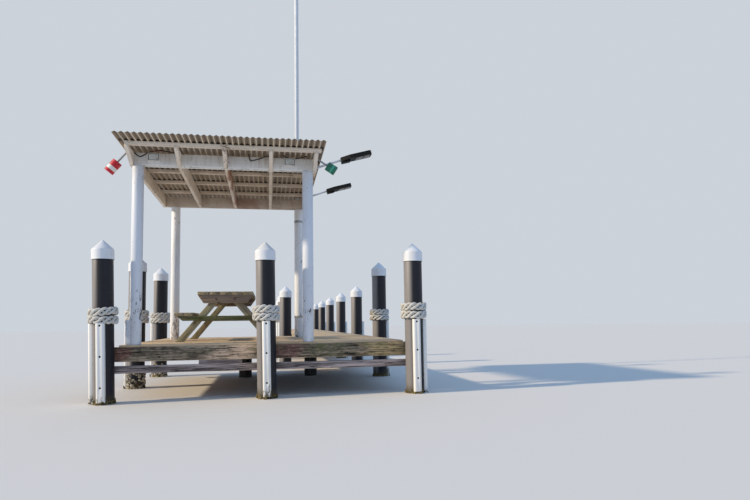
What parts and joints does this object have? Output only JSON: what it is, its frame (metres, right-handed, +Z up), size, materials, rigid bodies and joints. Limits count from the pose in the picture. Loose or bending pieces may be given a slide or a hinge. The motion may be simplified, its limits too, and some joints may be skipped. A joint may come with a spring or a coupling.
{
  "type": "jetty",
  "caption": "Wooden boat jetty on sleeved piles with pointed caps, with a roofed shelter, a picnic table, a flagpole, flood lamps and a long boarded walkway.",
  "frame": {"origin": "centre of the foot of the front middle pile, on the waterline", "axes": "+X to the right seen from the water, +Y along the walkway towards the shore, +Z up"},
  "size_m": [4.4256, 17.5066, 8.2635],
  "materials": {
    "pile_sleeve": "dull",
    "bearing_pile": "rough",
    "cap": "satin",
    "rubbing_strip": "satin",
    "rope": "rough",
    "front_timber": "weathered",
    "frame_timber": "weathered",
    "deck_boards": "weathered",
    "painted_post": "painted, flaking at the foot",
    "painted_roof_timber": "painted, worn",
    "bare_roof_timber": "weathered",
    "roof_sheet": "dull",
    "junction_box": "dull",
    "cable": "dull",
    "flagpole": "gloss",
    "clamp": "satin",
    "lamp_arm": "satin",
    "lamp_head": "satin",
    "red_marker": "gloss",
    "green_marker": "gloss",
    "table_timber": "weathered"
  },
  "bodies": {
    "root": {"front_left_pile": "pile_sleeve", "front_centre_pile": "pile_sleeve", "front_right_pile": "pile_sleeve", "head_side_piles": "pile_sleeve", "walkway_piles": "pile_sleeve", "bearing_piles": "bearing_pile", "head_pile_caps": "cap", "walkway_pile_caps": "cap", "head_rubbing_strips": "rubbing_strip", "walkway_rubbing_strips": "rubbing_strip", "front_rope_lashings": "rope", "side_rope_lashings": "rope", "front_beam": "front_timber", "front_rail": "front_timber", "rail_packer": "front_timber", "head_side_beams": "frame_timber", "head_rear_beam": "frame_timber", "head_joists": "frame_timber", "head_bearer": "frame_timber", "walkway_bearers": "frame_timber", "walkway_beams": "frame_timber", "head_deck": "deck_boards", "walkway_deck": "deck_boards", "front_left_post": "painted_post", "front_right_post": "painted_post", "rear_left_post": "painted_post", "rear_right_post": "painted_post", "front_roof_beam": "painted_roof_timber", "rear_roof_beam": "painted_roof_timber", "outer_rafters": "painted_roof_timber", "inner_rafters": "bare_roof_timber", "roof_purlins": "bare_roof_timber", "roof_sheet": "roof_sheet", "junction_boxes": "junction_box", "beam_cables": "cable", "flagpole": "flagpole", "flagpole_clamps": "clamp", "lamp_arms": "lamp_arm", "lamp_heads": "lamp_head", "red_marker_lamp": "red_marker", "green_marker_lamp": "green_marker", "table_frames": "table_timber", "table_top": "table_timber", "table_benches": "table_timber"}
  },
  "joints": []
}
